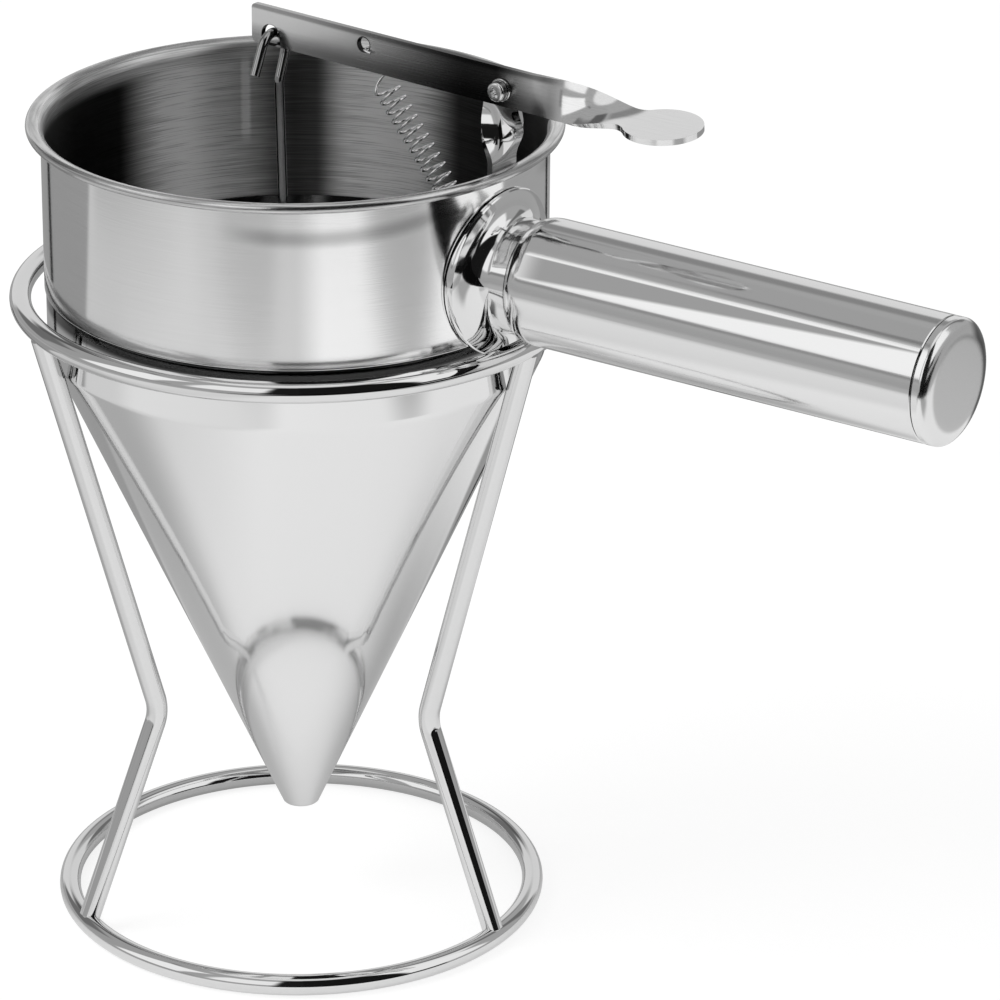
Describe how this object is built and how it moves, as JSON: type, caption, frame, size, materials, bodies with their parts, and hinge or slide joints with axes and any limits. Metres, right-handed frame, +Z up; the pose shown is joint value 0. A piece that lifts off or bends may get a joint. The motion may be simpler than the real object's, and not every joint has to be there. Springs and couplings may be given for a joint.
{
  "type": "batter dispenser",
  "caption": "Steel funnel dispenser for batter with a tube handle, a thumb lever on a twisted bracket, a sprung valve rod and plug, and a wire stand.",
  "frame": {"origin": "on the table, under the middle of the whole object's bounds; the funnel's axis is the line x = -0.0609 m, y = 0", "axes": "+X along the handle to its cap, +Y to the back of the lever, +Z up along the funnel's axis"},
  "size_m": [0.27, 0.1482, 0.2477],
  "materials": {
    "brushed_sheet": "brushed round the bowl, satin on the cap",
    "polished_sheet": "mirror polished",
    "polished_strip": "mirror polished strip",
    "brushed_strip": "satin, brushed along the strip",
    "fasteners": "bright",
    "spring_wire": "bright drawn wire",
    "rod_wire": "bright drawn wire",
    "plug_steel": "turned and polished",
    "stand_wire": "chromed wire"
  },
  "bodies": {
    "stand": {"stand_top_ring": "stand_wire", "stand_base_ring": "stand_wire", "stand_leg_1": "stand_wire", "stand_leg_2": "stand_wire", "stand_leg_3": "stand_wire"},
    "funnel": {"bowl_wall": "brushed_sheet", "funnel_cone": "polished_sheet", "handle_flange": "polished_sheet", "handle_tube": "polished_sheet", "handle_end_cap": "brushed_sheet", "lever_bracket": "polished_strip", "pivot_screw": "fasteners", "pivot_washer_front": "fasteners", "pivot_bush": "fasteners", "pivot_washer_rear": "fasteners", "pivot_nut": "fasteners", "return_spring": "spring_wire"},
    "lever": {"lever": "brushed_strip"},
    "valve": {"valve_rod": "rod_wire", "valve_plug": "plug_steel"}
  },
  "joints": [
    {"name": "funnel_lift", "type": "slide", "parent": "stand", "child": "funnel", "axis": [0, 0, 1], "range_m": [0, 0.18]},
    {"name": "lever_pivot", "type": "hinge", "parent": "funnel", "child": "lever", "pos_m": [0.0038, 0, 0.2396], "axis": [0, 1, 0], "range_deg": [0, 10], "stiffness_Nm_per_rad": 0.75, "springref_deg": -54.43, "deforming": ["return_spring"]},
    {"name": "valve_lift", "type": "slide", "parent": "funnel", "child": "valve", "axis": [0, 0, 1], "range_m": [0, 0.0118]}
  ],
  "couplings": [
    {"joint": "valve_lift", "follows": "lever_pivot", "m_per_rad": 0.0658}
  ]
}
